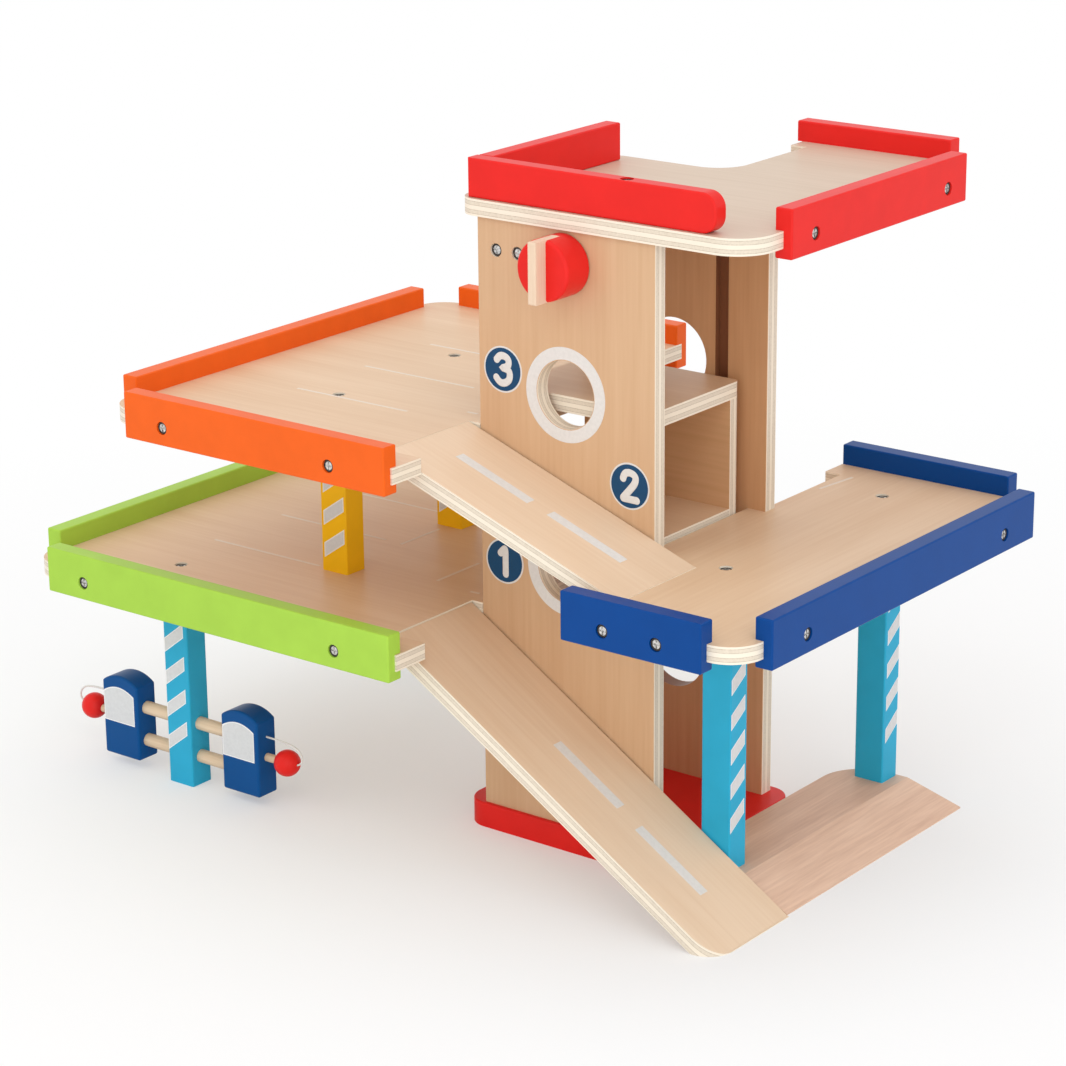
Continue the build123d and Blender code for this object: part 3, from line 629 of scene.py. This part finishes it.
def deck_lines(name, top, lines):
    """Straight lines on a deck, each from one point to another."""
    def draw(bm):
        for (x0, y0), (x1, y1) in lines:
            along = Vector((x1 - x0, y1 - y0, 0))
            side = Vector((-along.y, along.x, 0)).normalized() * LINE / 2
            first, last = Vector((x0, y0, 0)), Vector((x1, y1, 0))
            corners = (first - side, last - side, last + side, first + side)
            bm.faces.new([bm.verts.new(corner * MM) for corner in corners])
    flat_print(name, draw, Matrix.Translation((0, 0, top)), FADED_INK)
    print(name, len(lines), "lines")


BAY_EDGES = (-62, -1.5, 60)
deck_lines("green_deck_lines", GREEN_TOP,
           [((-262, y), (-178, y)) for y in BAY_EDGES]
           + [((-165, -3), (-165, 34)), ((-105, -42), (-105, -3)), ((-77.5, -45.5), (-71, -45))])
deck_lines("orange_deck_lines", ORANGE_TOP,
           [((-191, y), (-108, y)) for y in BAY_EDGES] + [((-79.7, -43), (-72, -43))])
deck_lines("blue_deck_lines", BLUE_TOP, [((65, 101), (68.6, 131))])


# %% [markdown]
# The pillars carry slanting white stripes on one face each. A stripe is grey-white inside a thin
# brighter edge, so it is printed in two layers: the edge first, and on it the smaller inside.

# %% Pillar stripes
def slanted(width, height, rise, zs, inset=0.0):
    """Draws slanting bars, one at each height: each climbs by `rise` over the width."""
    def draw(bm):
        half = width / 2 - inset
        climb = rise * half / width
        for z in zs:
            outline = ((-half, z - climb + inset), (half, z + climb + inset),
                       (half, z + climb + height - inset), (-half, z - climb + height - inset))
            bm.faces.new([bm.verts.new((x * MM, y * MM, 0)) for x, y in outline])
    return draw


STRIPE_HEIGHT, STRIPE_EDGE = 9, 0.7


def stripes(name, side, first_z, pitch, count, width, rise, shift):
    """Stripes up one face of a pillar, from the height of the lowest one's middle."""
    low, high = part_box(name)
    middle = (low + high) / 2
    zs = [first_z + step * pitch for step in range(count)]
    for layer, (inset, finish) in enumerate(((0, EDGE_INK), (STRIPE_EDGE, STRIPE_INK))):
        if side == "front":
            place = on_face((middle.x + shift * MM, low.y - layer * INK, 0), RIGHT, (0, -1, 0))
        else:
            place = on_face((high.x + layer * INK, middle.y + shift * MM, 0), BACK, RIGHT)
        flat_print(f"{name}_stripes_{layer + 1}", slanted(width, STRIPE_HEIGHT, rise, zs, inset), place,
                   finish)
    print(name, count, "stripes,", pitch, "mm apart")


stripes("pump_pillar", "front", 26.5, 20.7, 5, 15.6, 12, -1.3)
stripes("blue_front_pillar", "right", 42.1, 20.3, 6, 13.2, 8.4, -0.9)
stripes("blue_back_pillar", "right", 43.8, 20.3, 6, 12.7, 9, 0.8)
stripes("yellow_front_pillar", "front", 150.9, 19.8, 4, 15.6, 10.8, 0.3)
stripes("yellow_back_pillar", "front", 150.9, 19.8, 4, 15.6, 10.8, 0.3)


# %% [markdown]
# Each pump has a grey-white panel with an arched top and the same thin bright edge.

# %% Pump panels
def arched(width, height, rise, inset=0.0):
    """Draws a panel whose top edge is a shallow arch."""
    def draw(bm):
        half = width / 2 - inset
        steps = 12
        corners = [(-half, inset), (half, inset)]
        for step in range(steps + 1):
            share = 1 - 2 * step / steps
            corners.append((half * share, height - inset + rise * (1 - share ** 2)))
        bm.faces.new([bm.verts.new((x * MM, y * MM, 0)) for x, y in corners])
    return draw


PANEL_WIDTH, PANEL_HEIGHT, PANEL_RISE = 25, 19, 4
PANEL_FOOT = 27.8
for side in ("left", "right"):
    low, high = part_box(f"{side}_pump")
    for layer, (inset, finish) in enumerate(((0, EDGE_INK), (STRIPE_EDGE, STRIPE_INK))):
        place = on_face(((low.x + high.x) / 2 - 0.9 * MM, low.y - layer * INK, PANEL_FOOT * MM), RIGHT,
                        (0, -1, 0))
        flat_print(f"{side}_pump_panel_{layer + 1}", arched(PANEL_WIDTH, PANEL_HEIGHT, PANEL_RISE, inset),
                   place, finish)

# %% [markdown]
# ## Cords
# Each nozzle hangs on a white tether that goes from a hole in the pump round into the ball. It is a
# smooth curve along the route that the model uses, made a mesh.

# %% Tethers
TETHER_DIAMETER, TETHER_LENGTH = 1.2 * MM, 42.3 * MM
TETHER_ROUTE = [(-3, 42.8), (9, 42.8), (18.3, 42.3), (24.8, 40.3), (28, 35.6), (26.6, 31.2), (22, 30)]


def cord_material(name):
    """White braided cord: a fine twist across the cord's own length."""
    material, tree, shader = new_material(name, 0.8)
    here = node(tree, "ShaderNodeTexCoord").outputs["Object"]
    twist = node(tree, "ShaderNodeTexWave", wave_type="BANDS", bands_direction="DIAGONAL")
    twist.inputs["Scale"].default_value = 900
    tree.links.new(here, twist.inputs["Vector"])
    tree.links.new(mix_colour(tree, twist.outputs["Fac"], (0.66, 0.64, 0.60), (0.86, 0.85, 0.82)),
                   shader.inputs["Base Color"])
    bump(tree, shader, twist.outputs["Fac"], 0.3, 0.0002)
    return material


CORD_FINISH = cord_material("white cord")


def tether(side, outward):
    """One tether, from its pump's outer side into the ball."""
    low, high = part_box(f"{side}_pump")
    face_x = high.x if outward > 0 else low.x
    y = (low.y + high.y) / 2
    curve = bpy.data.curves.new(f"{side}_tether_line", "CURVE")
    curve.dimensions = "3D"
    curve.bevel_resolution = 3
    curve.use_fill_caps = True
    line = curve.splines.new("NURBS")
    line.points.add(len(TETHER_ROUTE) - 1)
    for point, (out, z) in zip(line.points, TETHER_ROUTE):
        point.co = (face_x + outward * out * MM, y, z * MM, 1)
    line.order_u = 3
    line.use_endpoint_u = True
    line.resolution_u = 12
    drawn = bpy.data.objects.new(f"{side}_tether_line", curve)
    scene.collection.objects.link(drawn)
    path = [vert.co.copy() for vert in mesh_of(drawn).vertices]
    curve.bevel_depth = TETHER_DIAMETER / 2
    tube = mesh_of(drawn)
    bpy.data.objects.remove(drawn)
    bm = bmesh.new()
    bm.from_mesh(tube)
    bmesh.ops.remove_doubles(bm, verts=bm.verts, dist=WELD)
    bmesh.ops.recalc_face_normals(bm, faces=bm.faces)
    bm.to_mesh(tube)
    bm.free()
    tube.materials.append(CORD_FINISH)
    made = bpy.data.objects.new(f"{side}_tether_cord", tube)
    scene.collection.objects.link(made)
    z = TETHER_ROUTE[0][1] * MM
    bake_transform(made)
    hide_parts(f"{side}_tether")
    print(made.name, len(path), "points,", len(tube.polygons), "faces")


tether("left", -1)
tether("right", 1)

# %% [markdown]
# The hoist cord runs straight down from the spool to the cabin's roof, as a tube made in short
# lengths.

# %% Hoist cord
CORD_LENGTHS = 24
cord_low, cord_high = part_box("hoist_cord")
cord_x, cord_y = (cord_low.x + cord_high.x) / 2, (cord_low.y + cord_high.y) / 2
cord_top = Vector((cord_x, cord_y, cord_high.z))
cord_foot = Vector((cord_x, cord_y, cord_low.z))
hoist_length = (cord_top - cord_foot).length
hoist_radius = (cord_high.x - cord_low.x) / 2
hoist_bm = bmesh.new()
bmesh.ops.create_cone(hoist_bm, cap_ends=True, segments=16, radius1=hoist_radius, radius2=hoist_radius,
                      depth=hoist_length, matrix=Matrix.Translation((cord_top + cord_foot) / 2))
sides = [edge for edge in hoist_bm.edges if edge.calc_length() > hoist_length / 2]
bmesh.ops.subdivide_edges(hoist_bm, edges=sides, cuts=CORD_LENGTHS - 1)
hoist_mesh = bpy.data.meshes.new("hoist_cord_tube")
hoist_bm.to_mesh(hoist_mesh)
hoist_bm.free()
hoist_mesh.materials.append(CORD_FINISH)
hoist = bpy.data.objects.new("hoist_cord_tube", hoist_mesh)
scene.collection.objects.link(hoist)
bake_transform(hoist)
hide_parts("hoist_cord")
print("hoist cord", round(hoist_length / MM, 1), "mm at rest")

# %% [markdown]
# ## Studio
# A pale floor takes the toy's soft shadow. Further out it turns plain white for the camera alone, so
# there is no horizon, and no more light comes back from it onto the toy.

# %% Floor
WHITE_STARTS, WHITE_ENDS = 0.2, 0.9
floor_mesh = bpy.data.meshes.new("floor")
floor_bm = bmesh.new()
bmesh.ops.create_grid(floor_bm, x_segments=1, y_segments=1, size=6)
floor_bm.to_mesh(floor_mesh)
floor_bm.free()
floor = bpy.data.objects.new("floor", floor_mesh)
scene.collection.objects.link(floor)
floor_material = bpy.data.materials.new("pale floor")
floor_material.use_nodes = True
floor_tree = floor_material.node_tree
floor_shader = floor_tree.nodes["Principled BSDF"]
floor_shader.inputs["Base Color"].default_value = (0.9, 0.9, 0.9, 1)
floor_shader.inputs["Roughness"].default_value = 1.0
floor_shader.inputs["Specular IOR Level"].default_value = 0.0
distance = node(floor_tree, "ShaderNodeVectorMath", operation="LENGTH")
floor_tree.links.new(node(floor_tree, "ShaderNodeTexCoord").outputs["Object"], distance.inputs[0])
far = spread(floor_tree, distance.outputs["Value"], WHITE_STARTS, WHITE_ENDS, 0.3, 1.0)
rays = node(floor_tree, "ShaderNodeLightPath")
white = node(floor_tree, "ShaderNodeEmission")
blend_floor = node(floor_tree, "ShaderNodeMixShader")
floor_tree.links.new(maths(floor_tree, "MULTIPLY", far, rays.outputs["Is Camera Ray"]), blend_floor.inputs[0])
floor_tree.links.new(floor_shader.outputs[0], blend_floor.inputs[1])
floor_tree.links.new(white.outputs[0], blend_floor.inputs[2])
floor_tree.links.new(blend_floor.outputs[0], floor_tree.nodes["Material Output"].inputs["Surface"])
floor_mesh.materials.append(floor_material)

# %% [markdown]
# The room itself gives most of the light, from all round. A wide soft light hangs above, a key light
# stands at the left front, a fill at the right, and a low one lights the ramps and the base under the
# decks. A small one, the window, puts a highlight on round painted pieces.

# %% Lights
ROOM_LIGHT = 0.94
world = bpy.data.worlds.new("studio")
scene.world = world
world.use_nodes = True
background = world.node_tree.nodes["Background"]
background.inputs["Color"].default_value = (1, 1, 1, 1)
world_rays = node(world.node_tree, "ShaderNodeLightPath")
level = spread(world.node_tree, world_rays.outputs["Is Camera Ray"], 0, 1, ROOM_LIGHT, 1.0)
world.node_tree.links.new(level, background.inputs["Strength"])


def soft_light(name, place, size, power):
    """A square soft box that looks at the tower's middle."""
    data = bpy.data.lights.new(name, "AREA")
    data.size = size
    data.energy = power
    lamp = bpy.data.objects.new(name, data)
    lamp.location = place
    aim = Vector((0, 0, 0.2)) - lamp.location
    lamp.rotation_euler = aim.to_track_quat("-Z", "Y").to_euler()
    scene.collection.objects.link(lamp)


soft_light("key", (-0.9, -1.6, 1.7), 1.2, 3)
soft_light("low front", (0.6, -1.3, 0.3), 0.8, 2.4)
soft_light("fill", (1.9, -0.7, 1.0), 1.2, 5)
soft_light("top", (0, 0.3, 2.2), 1.6, 4)
soft_light("window", (0.75, -1.2, 1.5), 0.3, 1.6)
